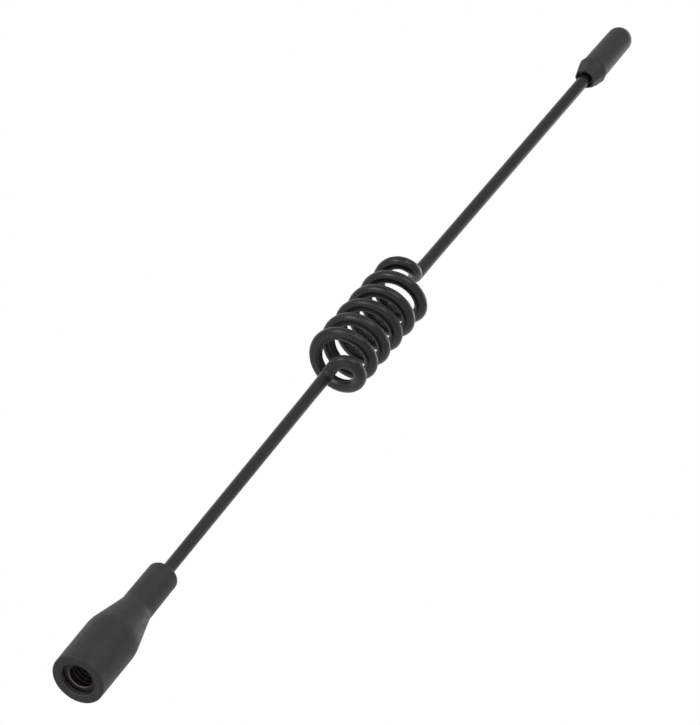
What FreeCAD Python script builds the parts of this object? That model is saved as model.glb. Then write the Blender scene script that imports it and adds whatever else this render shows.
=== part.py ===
# Antenna whip: moulded ferrule with a threaded socket, one bent wire with a phasing coil, tip cap.
# Millimetres, +Z along the lower straight of the wire, origin at the centre of the ferrule's foot.
import FreeCAD, Part
import math
import os

from FreeCAD import Vector

os.makedirs("parts", exist_ok=True)

# Wire, bent from one length of round spring wire
wireDiameter = 2.6
coilHeight = 124.7          # middle of the coil above the foot
coilRadius = 5.77           # to the wire's centre
coilPitch = 5.36
coilTurns = 6.5             # with the lead-in and lead-out loops
coilTurnedBy = 265.0        # degrees about +Z, at the middle of the coil
lowerLoopRadius = 2.95
lowerLoopTurns = 0.86       # over which the loop widens to the coil
upperLoopRadius = 2.8
upperLoopTurns = 0.78
upperLoopClimb = 0.85       # that the upper loop's end climbs besides the pitch
upperClimbTurns = 0.28      # over which it does so
wireBendRadius = 2.2        # where each straight turns into its loop
coilCoat = 0.08             # that the coat is thicker over the coil and its bends, on the radius
coatRunOut = 6.0            # along each straight
coilLean = 1.35             # degrees towards +X, from the corner below the coil
upperLean = 1.1             # degrees towards +X, from the corner above the coil
upperOffset = 0.25          # of that corner towards +X, from the coil's axis
pointsPerTurn = 10          # that the line of the coil is drawn through

# Moulded ferrule
bodyDiameter = 11.5
bodyLength = 14.4
shoulderLength = 9.8
neckDiameter = 6.9
neckTipDiameter = 6.7
ferruleLength = 36.2
footEdgeRadius = 0.6
neckEdgeRadius = 0.9
shoulderRadius = 10.0
neckFilletRadius = 6.0
recessDiameter = 7.6
recessDepth = 1.3
recessEdgeChamfer = 0.35

# Turned insert, moulded into the ferrule
threadMinorDiameter = 5.0   # bore of an M6 thread
threadMouthDiameter = 5.5
threadLength = 9.5
drillPointAngle = 118.0
insertDiameter = 8.4
insertBarrelLength = 12.4
insertGrooveWidth = 2.4
insertGrooveDepth = 0.6
insertShankDiameter = 4.6
insertLength = 28.0
wireSocketDepth = 12.5      # how far the wire goes into the insert's shank

# Collar and cap on the tip
collarBottom = 77.68        # along the upper straight, from the corner above the coil
collarHeight = 3.7
collarTopDiameter = 6.35
collarFootDiameter = 4.9
collarFlats = 8
collarFlatInset = 0.3       # how far each flat cuts in at the collar's foot
collarTurnedBy = 33.0       # degrees about the upper straight
collarRecessDiameter = 3.8
collarRecessDepth = 0.9
collarRimChamfer = 0.2
capDiameter = 5.8
capTopDiameter = 5.5
capLength = 15.0
capEdgeChamfer = 0.4
capBoreDepth = 9.0

# Fits
moulded = 0.02              # between a moulding or a crimp and what it grips, on the radius
endGap = 0.2                # left beyond the wire's end in a blind bore

# Worked out from the above
wireRadius = wireDiameter / 2
coilLength = coilPitch * coilTurns
insertTop = recessDepth + insertLength
wireBottom = insertTop - wireSocketDepth


def revolved(outline):
    """Solid of an (radius, height) outline of edges, turned about +Z."""
    face = Part.Face(Part.Wire(outline))
    return face.revolve(Vector(0, 0, 0), Vector(0, 0, 1), 360)


def tangentArc(start, corner, end):
    """Arc from start to end that touches the legs to corner, which are equally long."""
    leg = start.distanceToPoint(corner)
    half = (start - corner).getAngle(end - corner) / 2
    radius = leg * math.tan(half)
    inwards = ((start + end) / 2 - corner).normalize()
    middle = corner + inwards * (math.hypot(radius, leg) - radius)
    return Part.Arc(start, middle, end).toShape()


def rounded(points, radii):
    """Closed outline through (radius, height) points, with an arc of the given radius at each."""
    count = len(points)
    corners = [Vector(r, 0, z) for r, z in points]
    starts = []
    ends = []
    for i, corner in enumerate(corners):
        before = corners[i - 1] - corner
        after = corners[(i + 1) % count] - corner
        leg = radii[i] / math.tan(before.getAngle(after) / 2)
        starts.append(corner + before.normalize() * leg)
        ends.append(corner + after.normalize() * leg)
    edges = []
    for i, corner in enumerate(corners):
        if radii[i] > 0:
            edges.append(tangentArc(starts[i], corner, ends[i]))
        edges.append(Part.LineSegment(ends[i], starts[(i + 1) % count]).toShape())
    return edges


def cylinder(radius, bottom, top):
    return Part.makeCylinder(radius, top - bottom, Vector(0, 0, bottom))


def insertEnvelope():
    """Outside of the insert, with the groove that locks it into the moulding."""
    barrel = insertDiameter / 2
    shank = insertShankDiameter / 2
    barrelTop = recessDepth + insertBarrelLength
    envelope = cylinder(barrel, recessDepth, barrelTop)
    envelope = envelope.fuse(cylinder(shank, barrelTop, insertTop))
    grooveMiddle = recessDepth + insertBarrelLength / 2
    grooveBottom = grooveMiddle - insertGrooveWidth / 2
    ring = cylinder(barrel, grooveBottom, grooveBottom + insertGrooveWidth)
    ring = ring.cut(cylinder(barrel - insertGrooveDepth, grooveBottom, grooveBottom + insertGrooveWidth))
    return envelope.cut(ring)


def makeInsert():
    """Insert with a blind threaded bore below and the wire's socket above."""
    bore = threadMinorDiameter / 2
    mouth = threadMouthDiameter / 2
    boreTop = recessDepth + threadLength
    pointHeight = bore / math.tan(math.radians(drillPointAngle / 2))
    mouthHeight = mouth - bore
    cut = revolved(rounded([(0, recessDepth), (mouth, recessDepth), (bore, recessDepth + mouthHeight),
                            (bore, boreTop), (0, boreTop + pointHeight)], [0, 0, 0, 0, 0]))
    socket = cylinder(wireRadius + moulded, wireBottom - endGap, insertTop)
    return insertEnvelope().cut(cut).cut(socket)


def makeFerrule():
    """Moulded ferrule: round body, tapering shoulder and neck, dished foot."""
    body = bodyDiameter / 2
    neck = neckDiameter / 2
    neckTip = neckTipDiameter / 2
    outline = [(0, 0), (body, 0), (body, bodyLength), (neck, bodyLength + shoulderLength),
               (neckTip, ferruleLength), (0, ferruleLength)]
    radii = [0, footEdgeRadius, shoulderRadius, neckFilletRadius, neckEdgeRadius, 0]
    solid = revolved(rounded(outline, radii))
    recess = recessDiameter / 2
    solid = solid.cut(cylinder(recess, 0, recessDepth))
    solid = solid.cut(Part.makeCone(recess + recessEdgeChamfer, recess, recessEdgeChamfer))
    solid = solid.cut(insertEnvelope())
    return solid.cut(cylinder(wireRadius + moulded, insertTop, ferruleLength))


def eased(share):
    """0 to 1 with level ends."""
    share = min(max(share, 0.0), 1.0)
    return share * share * (3 - 2 * share)


def side(angle):
    return Vector(math.cos(angle), math.sin(angle), 0)


def around(angle):
    return Vector(-math.sin(angle), math.cos(angle), 0)


def bendLeg(loopRadius):
    """Length of each leg of the bend between the axis and a loop, and the loop's rise there."""
    rise = math.atan(coilPitch / (2 * math.pi * loopRadius))
    return wireBendRadius * math.tan(math.pi / 4 - rise / 2), rise


def cornerDistance(loopRadius, climb):
    """From the middle of the coil to the corner of the bend beyond a loop, along the coil's axis."""
    leg, rise = bendLeg(loopRadius)
    return coilLength / 2 + climb + leg * math.sin(rise)


def coilPlacement():
    """Where the coil stands: +Z along its own axis, which starts on the lower straight."""
    lean = FreeCAD.Rotation(Vector(0, 1, 0), coilLean)
    below = cornerDistance(lowerLoopRadius, 0)
    corner = Vector(0, 0, coilHeight - below)
    return FreeCAD.Placement(corner + lean.multVec(Vector(0, 0, below)), lean)


def upperPlacement():
    """Where the upper straight stands: +Z along it, from the corner above the coil."""
    above = cornerDistance(upperLoopRadius, upperLoopClimb)
    corner = coilPlacement().multVec(Vector(upperOffset, 0, above))
    return FreeCAD.Placement(corner, FreeCAD.Rotation(Vector(0, 1, 0), upperLean))


def coilPoint(turned):
    """Point on the wire's centre, that many turns after the start of the lead-in loop."""
    first = math.radians(coilTurnedBy) - math.pi * coilTurns
    last = math.radians(coilTurnedBy) + math.pi * coilTurns
    lower = 1 - eased(turned / lowerLoopTurns)
    upper = 1 - eased((coilTurns - turned) / upperLoopTurns)
    lowerLeg, lowerRise = bendLeg(lowerLoopRadius)
    upperLeg, upperRise = bendLeg(upperLoopRadius)
    lowerCentre = around(first) * (lowerLeg * math.cos(lowerRise)) - side(first) * lowerLoopRadius
    upperCentre = around(last) * (-upperLeg * math.cos(upperRise)) - side(last) * upperLoopRadius
    upperCentre += Vector(upperOffset, 0, 0)
    radius = coilRadius - (coilRadius - lowerLoopRadius) * lower - (coilRadius - upperLoopRadius) * upper
    height = coilPitch * turned - coilLength / 2
    height += upperLoopClimb * eased(1 - (coilTurns - turned) / upperClimbTurns)
    centre = lowerCentre * lower + upperCentre * upper + Vector(0, 0, height)
    return coilPlacement().multVec(centre + side(first + 2 * math.pi * turned) * radius)


def coilDirection(turned):
    small = 1e-4
    return (coilPoint(turned + small) - coilPoint(turned - small)).normalize()


def coilLine():
    """Smooth line through the lead-in loop, the coil and the lead-out loop."""
    count = round(pointsPerTurn * coilTurns)
    points = [coilPoint(coilTurns * i / count) for i in range(count + 1)]
    along = [0.0]
    for i in range(count):
        along.append(along[i] + points[i].distanceToPoint(points[i + 1]))
    line = Part.BSplineCurve()
    line.interpolate(Points=points, Parameters=along, InitialTangent=coilDirection(0),
                     FinalTangent=coilDirection(coilTurns), Scale=False)
    return line.toShape()


def bend(loopEnd, towardsAxis, leg, alongAxis):
    """Arc from the end of a loop to the straight, and where it meets the straight."""
    corner = loopEnd + towardsAxis * leg
    end = corner + alongAxis * leg
    return tangentArc(loopEnd, corner, end), end


def makeWire():
    """The whole wire: coil and bends swept from one round section, with a straight on either end."""
    up = Vector(0, 0, 1)
    leanedUp = upperPlacement().Rotation.multVec(up)
    lowerBend, lowerEnd = bend(coilPoint(0), coilDirection(0) * -1, bendLeg(lowerLoopRadius)[0], up * -1)
    upperBend, upperEnd = bend(coilPoint(coilTurns), coilDirection(coilTurns),
                               bendLeg(upperLoopRadius)[0], leanedUp)
    coated = wireRadius + coilCoat
    path = Part.Wire([lowerBend.reversed(), coilLine(), upperBend])
    section = Part.Wire(Part.Circle(lowerEnd, up, coated).toShape())
    solid = path.makePipeShell([section], True, False)
    print("coil's wire length", round(path.Length, 2),
          "volume over section times length", round(solid.Volume / (math.pi * coated ** 2 * path.Length), 5))
    bottom = Vector(0, 0, wireBottom)
    tip = upperPlacement().multVec(Vector(0, 0, collarBottom + collarHeight + capBoreDepth - endGap))
    for start, end, along in ((lowerEnd, bottom, up * -1), (upperEnd, tip, leanedUp)):
        taper = Part.makeCone(coated, wireRadius, coatRunOut, start, along)
        straight = Part.makeCylinder(wireRadius, start.distanceToPoint(end) - coatRunOut,
                                     start + along * coatRunOut, along)
        solid = solid.fuse([taper, straight])
    return solid


def makeCollar():
    """Tapered collar with flats that run out at its rim, and a recess round the wire."""
    top = collarTopDiameter / 2
    foot = collarFootDiameter / 2
    rim = collarRimChamfer
    cone = revolved(rounded([(0, 0), (foot, 0), (top, collarHeight - rim), (top - rim, collarHeight),
                             (0, collarHeight)], [0, 0, 0, 0, 0]))

    def polygon(apothem, height):
        corner = apothem / math.cos(math.pi / collarFlats)
        turns = [math.radians(collarTurnedBy + 360 * (i + 0.5) / collarFlats) for i in range(collarFlats + 1)]
        return Part.makePolygon([Vector(corner * math.cos(a), corner * math.sin(a), height) for a in turns])

    flats = Part.makeLoft([polygon(foot - collarFlatInset, 0), polygon(top, collarHeight)], True, True)
    solid = cone.common(flats)
    solid = solid.cut(cylinder(collarRecessDiameter / 2, 0, collarRecessDepth))
    return solid.cut(cylinder(wireRadius + moulded, 0, collarHeight))


def makeCap():
    """Domed cap with draft and a blind bore."""
    foot = capDiameter / 2
    dome = capTopDiameter / 2
    wall = capLength - dome
    edge = capEdgeChamfer
    outline = [
        Part.LineSegment(Vector(0, 0, 0), Vector(foot - edge, 0, 0)).toShape(),
        Part.LineSegment(Vector(foot - edge, 0, 0), Vector(foot, 0, edge)).toShape(),
        Part.LineSegment(Vector(foot, 0, edge), Vector(dome, 0, wall)).toShape(),
        Part.Arc(Vector(dome, 0, wall),
                 Vector(dome * math.cos(math.pi / 4), 0, wall + dome * math.sin(math.pi / 4)),
                 Vector(0, 0, capLength)).toShape(),
        Part.LineSegment(Vector(0, 0, capLength), Vector(0, 0, 0)).toShape()]
    solid = revolved(outline)
    return solid.cut(cylinder(wireRadius + moulded, 0, capBoreDepth))


def onTip(solid, height):
    """The same solid carried by the upper straight, that far above the straight's lower end."""
    solid.Placement = upperPlacement().multiply(FreeCAD.Placement(Vector(0, 0, height), FreeCAD.Rotation()))
    return solid


shapes = {
    "base_ferrule": makeFerrule(),
    "threaded_insert": makeInsert(),
    "whip_wire": makeWire(),
    "tip_collar": onTip(makeCollar(), collarBottom),
    "tip_cap": onTip(makeCap(), collarBottom + collarHeight),
}
for name, shape in shapes.items():
    shape.exportStep(f"parts/{name}.step")
    print(name, shape.ShapeType, "solids", len(shape.Solids), "valid", shape.isValid(), "volume", round(shape.Volume, 2))
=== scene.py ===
import math

import bmesh
import bpy
from mathutils import Matrix, Vector


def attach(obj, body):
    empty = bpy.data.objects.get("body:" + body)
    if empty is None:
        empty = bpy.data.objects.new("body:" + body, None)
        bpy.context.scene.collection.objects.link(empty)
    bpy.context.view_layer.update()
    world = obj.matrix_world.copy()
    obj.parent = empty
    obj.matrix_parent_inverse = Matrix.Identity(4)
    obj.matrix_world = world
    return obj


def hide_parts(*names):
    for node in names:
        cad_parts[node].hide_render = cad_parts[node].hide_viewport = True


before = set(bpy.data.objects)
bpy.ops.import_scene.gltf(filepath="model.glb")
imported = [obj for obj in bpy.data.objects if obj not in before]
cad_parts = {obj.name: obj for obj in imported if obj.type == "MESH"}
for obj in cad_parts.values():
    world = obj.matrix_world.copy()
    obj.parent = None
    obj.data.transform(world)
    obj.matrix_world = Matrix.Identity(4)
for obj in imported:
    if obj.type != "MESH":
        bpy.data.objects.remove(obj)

mm = 0.001
scene = bpy.context.scene
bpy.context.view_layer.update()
print("whip loaded:", ", ".join(sorted(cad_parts)))

mixUnder, mixOver, mixResult = 6, 7, 2  # sockets of a mix node that mixes colours


# small helpers for node trees
def newMaterial(name):
    material = bpy.data.materials.new(name)
    material.use_nodes = True
    tree = material.node_tree
    return material, tree, tree.nodes["Principled BSDF"]


def add(tree, kind, **settings):
    # a setting goes to the node's own property of that name, or else to its input
    node = tree.nodes.new(kind)
    for key, value in settings.items():
        if hasattr(node, key):
            setattr(node, key, value)
        else:
            node.inputs[key].default_value = value
    return node


def noise(tree, coords, size, detail):
    node = add(tree, "ShaderNodeTexNoise", Scale=1 / size, Detail=detail, Roughness=0.55)
    tree.links.new(coords, node.inputs["Vector"])
    return node.outputs["Fac"]


def mapRange(tree, value, low, high, fromLow=0.3, fromHigh=0.7):
    node = add(tree, "ShaderNodeMapRange")
    tree.links.new(value, node.inputs["Value"])
    node.inputs["From Min"].default_value = fromLow
    node.inputs["From Max"].default_value = fromHigh
    node.inputs["To Min"].default_value = low
    node.inputs["To Max"].default_value = high
    return node.outputs["Result"]


def mixColours(tree, factor, first, second):
    node = add(tree, "ShaderNodeMix", data_type="RGBA")
    tree.links.new(factor, node.inputs["Factor"])
    node.inputs[mixUnder].default_value = (*first, 1.0)
    node.inputs[mixOver].default_value = (*second, 1.0)
    return node.outputs[mixResult]


def blend(tree, factor, under, over):
    node = add(tree, "ShaderNodeMix", data_type="RGBA")
    tree.links.new(factor, node.inputs["Factor"])
    tree.links.new(under, node.inputs[mixUnder])
    node.inputs[mixOver].default_value = (*over, 1.0)
    return node.outputs[mixResult]


def mixShaders(tree, factor, first, second):
    node = add(tree, "ShaderNodeMixShader")
    for slot, source in enumerate((factor, first, second)):
        tree.links.new(source, node.inputs[slot])
    return node.outputs[0]


def calculate(tree, operation, first, second):
    node = add(tree, "ShaderNodeMath", operation=operation)
    tree.links.new(first, node.inputs[0])
    tree.links.new(second, node.inputs[1])
    return node.outputs[0]


def scaled(tree, value, level):
    node = add(tree, "ShaderNodeMath", operation="MULTIPLY")
    tree.links.new(value, node.inputs[0])
    node.inputs[1].default_value = level
    return node.outputs[0]


def bump(tree, height, distance, strength, under=None):
    node = add(tree, "ShaderNodeBump", Strength=strength, Distance=distance)
    tree.links.new(height, node.inputs["Height"])
    if under is not None:
        tree.links.new(under, node.inputs["Normal"])
    return node.outputs["Normal"]


def objectCoords(tree):
    return add(tree, "ShaderNodeTexCoord").outputs["Object"]


def heightOf(tree, coords):
    apart = add(tree, "ShaderNodeSeparateXYZ")
    tree.links.new(coords, apart.inputs[0])
    return apart.outputs["Z"]


def fromAxis(tree, coords):
    flat = add(tree, "ShaderNodeVectorMath", operation="MULTIPLY")
    tree.links.new(coords, flat.inputs[0])
    flat.inputs[1].default_value = (1, 1, 0)  # leaves the height out
    radius = add(tree, "ShaderNodeVectorMath", operation="LENGTH")
    tree.links.new(flat.outputs["Vector"], radius.inputs[0])
    return radius.outputs["Value"]


# what moulded and coated pieces share: clouded colour and smeared gloss
def cloudy(tree, shader, coords, look):
    cloud = noise(tree, coords, look["cloudSize"], detail=3.0)
    smear = noise(tree, coords, look["smearSize"], detail=5.0)
    tree.links.new(mapRange(tree, smear, *look["roughness"]), shader.inputs["Roughness"])
    shader.inputs["Specular IOR Level"].default_value = look["specular"]
    share = mapRange(tree, cloud, 0.0, 1.0)
    return mixColours(tree, share, look["darkTone"], look["lightTone"])


# painted light in the recess of the foot: a lighter tone within a radius and under a height,
# lifting the recess's shade
def paintRecessLight(tree, coords, colour, paintedRecessLight):
    radius, top, fade = paintedRecessLight["radius"], paintedRecessLight["top"], paintedRecessLight["fade"]
    within = mapRange(tree, fromAxis(tree, coords), 1.0, 0.0, radius, radius + fade)
    under = mapRange(tree, heightOf(tree, coords), 1.0, 0.0, top, top + fade)
    return blend(tree, calculate(tree, "MULTIPLY", within, under), colour, paintedRecessLight["tone"])


# matt moulding with a fine spark-eroded grain, for the ferrule, collar and cap
def mouldedPlastic(name, look):
    material, tree, shader = newMaterial(name)
    coords = objectCoords(tree)
    colour = cloudy(tree, shader, coords, look)
    # painted light: a lighter tone in the foot's recess, where the look asks for it
    if "paintedRecessLight" in look:
        colour = paintRecessLight(tree, coords, colour, look["paintedRecessLight"])
    tree.links.new(colour, shader.inputs["Base Color"])
    grain = noise(tree, coords, look["grainSize"], detail=2.0)
    pits = add(tree, "ShaderNodeTexVoronoi", Scale=1 / look["pitSize"])
    tree.links.new(coords, pits.inputs["Vector"])
    fine = bump(tree, grain, look["grainDepth"], strength=0.8)
    both = bump(tree, pits.outputs["Distance"], look["pitDepth"], strength=0.6, under=fine)
    tree.links.new(both, shader.inputs["Normal"])
    return material


ferruleLook = {
    "darkTone": (0.020, 0.020, 0.0203), "lightTone": (0.029, 0.029, 0.0286),
    "roughness": (0.46, 0.58), "specular": 0.35,
    "cloudSize": 3.5 * mm, "smearSize": 1.2 * mm,
    "grainSize": 0.16 * mm, "grainDepth": 0.02 * mm,
    "pitSize": 0.45 * mm, "pitDepth": 0.03 * mm,
    # painted light in the foot's recess, lifting its shade
    "paintedRecessLight": {
        "tone": (0.070, 0.067, 0.063),
        "radius": 3.85 * mm, "top": 1.4 * mm, "fade": 0.25 * mm,
    },
}
capLook = {
    "darkTone": (0.019, 0.019, 0.0194), "lightTone": (0.028, 0.028, 0.0285),
    "roughness": (0.42, 0.52), "specular": 0.45,
    "cloudSize": 2.5 * mm, "smearSize": 1.0 * mm,
    "grainSize": 0.14 * mm, "grainDepth": 0.015 * mm,
    "pitSize": 0.40 * mm, "pitDepth": 0.02 * mm,
}
collarLook = {
    "darkTone": (0.017, 0.017, 0.017), "lightTone": (0.024, 0.024, 0.024),
    "roughness": (0.34, 0.44), "specular": 0.5,
    "cloudSize": 2.0 * mm, "smearSize": 0.8 * mm,
    "grainSize": 0.14 * mm, "grainDepth": 0.008 * mm,
    "pitSize": 0.40 * mm, "pitDepth": 0.008 * mm,
}


# satin coat on spring wire, with a slight peel in it
def wireCoat(look):
    material, tree, shader = newMaterial("wireCoat")
    coords = objectCoords(tree)
    tree.links.new(cloudy(tree, shader, coords, look), shader.inputs["Base Color"])
    peel = noise(tree, coords, look["peelSize"], detail=2.0)
    grain = noise(tree, coords, look["grainSize"], detail=2.0)
    coarse = bump(tree, peel, look["peelDepth"], strength=0.7)
    both = bump(tree, grain, look["grainDepth"], strength=0.6, under=coarse)
    tree.links.new(both, shader.inputs["Normal"])
    return material


wireLook = {
    "darkTone": (0.0035, 0.0034, 0.0034), "lightTone": (0.0065, 0.0063, 0.0063),
    "roughness": (0.31, 0.38), "specular": 0.5,
    "cloudSize": 5.0 * mm, "smearSize": 1.5 * mm,
    "peelSize": 0.7 * mm, "peelDepth": 0.010 * mm,
    "grainSize": 0.12 * mm, "grainDepth": 0.006 * mm,
}


# dull nickel plate over brass, with the rings that a lathe leaves
def turnedMetal(look):
    material, tree, shader = newMaterial("turnedMetal")
    coords = objectCoords(tree)
    tarnish = noise(tree, coords, look["tarnishSize"], detail=5.0)
    share = mapRange(tree, tarnish, 0.0, 1.0)
    colour = mixColours(tree, share, look["clean"], look["tarnished"])
    # brighter metal on the mouth's edge, rubbed wear with a painted glint in it; darker further
    # up the thread, painted shade down the bore
    height = heightOf(tree, coords)
    for tone in ("rubbedGlint", "paintedShade"):
        reached = mapRange(tree, height, 0.0, 1.0, look[tone + "From"], look[tone + "To"])
        colour = blend(tree, reached, colour, look[tone])
    tree.links.new(colour, shader.inputs["Base Color"])
    tree.links.new(mapRange(tree, tarnish, *look["roughness"]), shader.inputs["Roughness"])
    rings = add(tree, "ShaderNodeTexWave", wave_type="RINGS", rings_direction="Z",
                Scale=1 / look["ringPitch"], Distortion=look["ringWobble"])
    tree.links.new(coords, rings.inputs["Vector"])
    turned = bump(tree, rings.outputs["Fac"], look["ringDepth"], strength=0.5)
    tree.links.new(turned, shader.inputs["Normal"])
    shader.inputs["Metallic"].default_value = 1.0
    return material


insertLook = {
    "clean": (0.052, 0.049, 0.045), "tarnished": (0.034, 0.032, 0.029),
    # brighter metal at the mouth's edge: wear with a painted glint
    "rubbedGlint": (0.13, 0.12, 0.11), "rubbedGlintFrom": 1.31 * mm, "rubbedGlintTo": 1.36 * mm,
    # darker from here up the bore: painted shade
    "paintedShade": (0.022, 0.020, 0.018), "paintedShadeFrom": 1.55 * mm, "paintedShadeTo": 1.75 * mm,
    "roughness": (0.34, 0.50), "tarnishSize": 1.5 * mm,
    "ringPitch": 1.2 * mm, "ringDepth": 0.004 * mm, "ringWobble": 0.6,
}

finishes = {
    "base_ferrule": mouldedPlastic("ferruleMoulding", ferruleLook),
    "whip_wire": wireCoat(wireLook),
    "tip_collar": mouldedPlastic("collarMoulding", collarLook),
    "tip_cap": mouldedPlastic("capMoulding", capLook),
    "threaded_insert": turnedMetal(insertLook),
}
for node, material in finishes.items():
    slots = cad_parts[node].data.materials
    slots.clear()
    slots.append(material)
print("finishes on")


# threaded insert with its true thread, in place of the plain solid; lengths in mm
insertShape = {
    "face": 1.3, "top": 29.3,
    "barrelTop": 13.7, "barrelRadius": 4.2, "shankRadius": 2.3,
    "grooveLow": 6.3, "grooveHigh": 8.7, "grooveRadius": 3.6,
    "mouthRadius": 2.75, "minorRadius": 2.5, "majorRadius": 3.0,
    "pitch": 1.0, "threadTop": 10.8, "pointHeight": 1.502,
    "crest": 0.18, "root": 0.12, "runInFrom": 0.25, "runOut": 1.5,  # in pitches
    "wireRadius": 1.32, "socketBottom": 16.6,
    "around": 96, "rowsPerPitch": 12, "sharpAngle": 35,
}


def threadRadius(shape, turn, height):
    # flat crest, flat root and straight flanks; runs in at the mouth and out at its upper end
    phase = (height / shape["pitch"] - turn) % 1.0
    crest, root = shape["crest"], shape["root"]
    flank = (1 - crest - root) / 2
    if phase < crest:
        depth = 0.0
    elif phase < crest + flank:
        depth = (phase - crest) / flank
    elif phase < crest + flank + root:
        depth = 1.0
    else:
        depth = (1 - phase) / flank
    below = (height - shape["face"]) / shape["pitch"] - shape["runInFrom"]
    above = (shape["threadTop"] - height) / (shape["runOut"] * shape["pitch"])
    runIn, runOut = (min(1.0, max(0.0, part)) for part in (below, above))
    deepest = shape["majorRadius"] - shape["minorRadius"]
    mouth = shape["mouthRadius"] - (height - shape["face"])  # 45 degree lead-in
    return max(shape["minorRadius"] + deepest * depth * runIn * runOut, mouth)


def makeInsert(shape):
    around = shape["around"]
    mesh = bmesh.new()

    def ring(radiusOf, height):
        verts = []
        for i in range(around):
            angle = 2 * math.pi * i / around
            radius = radiusOf(i / around)
            spot = (radius * math.cos(angle) * mm, radius * math.sin(angle) * mm, height * mm)
            verts.append(mesh.verts.new(spot))
        return verts

    def bridge(lower, upper):
        for i in range(around):
            j = (i + 1) % around
            mesh.faces.new((lower[i], lower[j], upper[j], upper[i]))

    # outside from the face up to the shank's end, then down the wire socket
    outside = [
        (shape["barrelRadius"], shape["face"]), (shape["barrelRadius"], shape["grooveLow"]),
        (shape["grooveRadius"], shape["grooveLow"]), (shape["grooveRadius"], shape["grooveHigh"]),
        (shape["barrelRadius"], shape["grooveHigh"]), (shape["barrelRadius"], shape["barrelTop"]),
        (shape["shankRadius"], shape["barrelTop"]), (shape["shankRadius"], shape["top"]),
        (shape["wireRadius"], shape["top"]), (shape["wireRadius"], shape["socketBottom"]),
    ]
    rings = [ring(lambda turn, r=radius: r, height) for radius, height in outside]
    for lower, upper in zip(rings, rings[1:]):
        bridge(lower, upper)
    mesh.faces.new(rings[-1])
    # thread from the face up into the bore, closed by the drill's point
    deep = shape["threadTop"] - shape["face"]
    rows = round(deep / shape["pitch"] * shape["rowsPerPitch"])
    heights = [shape["face"] + deep * i / rows for i in range(rows + 1)]
    bore = [ring(lambda turn, z=height: threadRadius(shape, turn, z), height)
            for height in heights]
    bridge(bore[0], rings[0])
    for lower, upper in zip(bore, bore[1:]):
        bridge(upper, lower)
    point = mesh.verts.new((0, 0, (shape["threadTop"] + shape["pointHeight"]) * mm))
    last = bore[-1]
    for i in range(around):
        mesh.faces.new((last[(i + 1) % around], last[i], point))
    bmesh.ops.recalc_face_normals(mesh, faces=mesh.faces)
    data = bpy.data.meshes.new("threadedSocket")
    mesh.to_mesh(data)
    mesh.free()
    data.materials.append(finishes["threaded_insert"])
    data.shade_smooth()
    data.set_sharp_from_angle(angle=math.radians(shape["sharpAngle"]))
    piece = bpy.data.objects.new("threadedSocket", data)
    scene.collection.objects.link(piece)
    return piece


socket = makeInsert(insertShape)
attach(socket, "root")
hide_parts("threaded_insert")
print("thread cut:", len(socket.data.polygons), "faces")


# camera at the photograph's angle: below the foot, looking up along the whip
cameraPlace = {
    "target": (0, 0, 124.8 * mm),   # middle of the coil
    "distance": 1.897,
    "tilt": 43.5,                   # how far the whip points away from the camera, in degrees
    "roll": 50.716,                 # angle of the lower straight in the picture
    "pixels": 9200.0,               # focal length in pixels
    "side": 725,                    # the picture's longer side in pixels
    "sensor": 36.0,
    "offset": (17.99, 37.43),       # target right of and above the picture's centre, in pixels
}


def placeCamera(place):
    tilt = math.radians(place["tilt"])
    roll = math.radians(place["roll"])
    view = Vector((0, math.cos(tilt), math.sin(tilt)))
    right = Vector((
        math.sin(roll), -math.sin(tilt) * math.cos(roll), math.cos(tilt) * math.cos(roll)))
    up = right.cross(view)
    # turned a little, so that the target stands off the picture's centre
    across, above = (value / place["pixels"] for value in place["offset"])
    forward = (view - right * across - up * above).normalized()
    right = (right - forward * right.dot(forward)).normalized()
    up = right.cross(forward)
    camera = bpy.data.cameras.new("photoCamera")
    camera.sensor_width = place["sensor"]
    camera.lens = place["pixels"] / place["side"] * place["sensor"]
    camera.dof.use_dof = False
    holder = bpy.data.objects.new("photoCamera", camera)
    scene.collection.objects.link(holder)
    eye = Vector(place["target"]) - view * place["distance"]
    axes = Matrix((right, up, -forward)).transposed()
    holder.matrix_world = Matrix.Translation(eye) @ axes.to_4x4()
    scene.camera = holder
    return view, right, up


view, right, up = placeCamera(cameraPlace)
print("camera placed")


# pale floor, well below the camera: nearly white to the eye, dimmer in the gloss
floorPlace = {
    "height": -1.7, "half": 9.0,
    "tone": (0.86, 0.86, 0.86), "roughness": 0.8,
    "glow": 0.9, "glossGlow": 0.4,
}


def makeFloor(place):
    half = place["half"]
    data = bpy.data.meshes.new("floor")
    corners = [(-half, -half), (half, -half), (half, half), (-half, half)]
    data.from_pydata([(x, y, place["height"]) for x, y in corners], [], [(0, 1, 2, 3)])
    material, tree, shader = newMaterial("paleFloor")
    shader.inputs["Base Color"].default_value = (*place["tone"], 1.0)
    shader.inputs["Roughness"].default_value = place["roughness"]
    glow = add(tree, "ShaderNodeEmission", Color=(1, 1, 1, 1), Strength=1.0)
    ray = add(tree, "ShaderNodeLightPath")
    seen = scaled(tree, ray.outputs["Is Camera Ray"], place["glow"])
    mirrored = scaled(tree, ray.outputs["Is Glossy Ray"], place["glossGlow"])
    share = calculate(tree, "MAXIMUM", seen, mirrored)
    mixed = mixShaders(tree, share, shader.outputs[0], glow.outputs[0])
    tree.links.new(mixed, tree.nodes["Material Output"].inputs["Surface"])
    data.materials.append(material)
    floor = bpy.data.objects.new("floor", data)
    scene.collection.objects.link(floor)


makeFloor(floorPlace)
print("floor laid")


# white room: white to the eye all round; gloss sees it white behind the whip, dim by the camera
roomLight = {
    "ambient": 0.5,
    # how bright gloss sees the room, from straight behind the whip (0) to the camera (1)
    "steps": [
        (0.0, 1.0), (0.09, 0.90), (0.2, 0.68), (0.52, 0.64),
        (0.68, 0.30), (0.8, 0.03), (1.0, 0.02),
    ],
}


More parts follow.
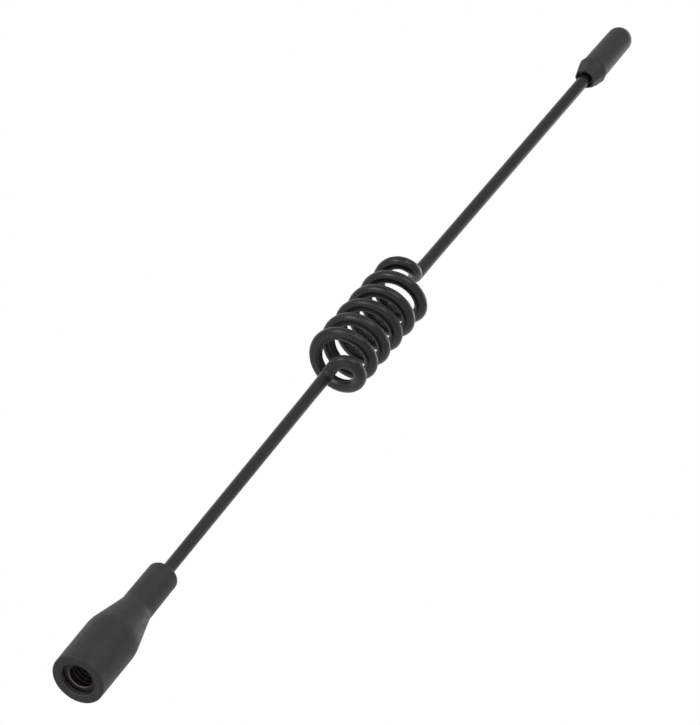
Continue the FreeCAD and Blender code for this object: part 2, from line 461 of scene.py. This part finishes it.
def makeWorld(light):
    world = bpy.data.worlds.new("whiteRoom")
    world.use_nodes = True
    tree = world.node_tree
    plain = tree.nodes["Background"]
    plain.inputs["Color"].default_value = (1, 1, 1, 1)
    plain.inputs["Strength"].default_value = light["ambient"]
    white = add(tree, "ShaderNodeBackground", Color=(1, 1, 1, 1), Strength=1.0)
    gloss = add(tree, "ShaderNodeBackground", Color=(1, 1, 1, 1))
    towards = add(tree, "ShaderNodeVectorMath", operation="DOT_PRODUCT")
    tree.links.new(add(tree, "ShaderNodeTexCoord").outputs["Generated"], towards.inputs[0])
    towards.inputs[1].default_value = -view
    steps = add(tree, "ShaderNodeValToRGB")
    ramp = steps.color_ramp
    for place, _ in light["steps"][1:-1]:  # the ramp has its two ends already
        ramp.elements.new(place)
    for element, (_, level) in zip(ramp.elements, light["steps"]):
        element.color = (level, level, level, 1.0)
    tree.links.new(mapRange(tree, towards.outputs["Value"], 0.0, 1.0, -1.0, 1.0), steps.inputs[0])
    tree.links.new(steps.outputs[0], gloss.inputs["Strength"])
    ray = add(tree, "ShaderNodeLightPath")
    seen = calculate(
        tree, "MAXIMUM", ray.outputs["Is Camera Ray"], ray.outputs["Is Transmission Ray"])
    shiny = mixShaders(tree, ray.outputs["Is Glossy Ray"], plain.outputs[0], gloss.outputs[0])
    mixed = mixShaders(tree, seen, shiny, white.outputs[0])
    tree.links.new(mixed, tree.nodes["World Output"].inputs["Surface"])
    scene.world = world


makeWorld(roomLight)

# soft lights: each stands where its shares of the picture's right, its up and the camera point
lamps = {
    "leftLight": {"towards": (-0.50, 0.65, 0.57), "distance": 1.0, "size": 0.45, "power": 2.6},
    "rightLight": {"towards": (0.52, 0.62, 0.59), "distance": 1.0, "size": 0.45, "power": 2.4},
    "topLight": {"towards": (0.0, 0.72, 0.69), "distance": 1.0, "size": 0.45, "power": 0.7},
    "fillLight": {"towards": (-0.55, -0.50, 0.67), "distance": 1.2, "size": 1.4, "power": 2.4},
    "sideLight": {"towards": (0.90, 0.00, 0.43), "distance": 1.2, "size": 0.9, "power": 0.8},
    "backLight": {"towards": (0.62, 0.15, -0.77), "distance": 0.9, "size": 0.5, "power": 1.2},
}


def makeLamp(name, place):
    light = bpy.data.lights.new(name, "AREA")
    light.shape = "SQUARE"
    light.size = place["size"]
    light.energy = place["power"]
    across, above, near = place["towards"]
    direction = (right * across + up * above - view * near).normalized()
    lamp = bpy.data.objects.new(name, light)
    scene.collection.objects.link(lamp)
    lamp.location = Vector(cameraPlace["target"]) + direction * place["distance"]
    lamp.rotation_euler = direction.to_track_quat("Z", "Y").to_euler()


for name, place in lamps.items():
    makeLamp(name, place)
scene.view_settings.view_transform = "Standard"
print("lights on")
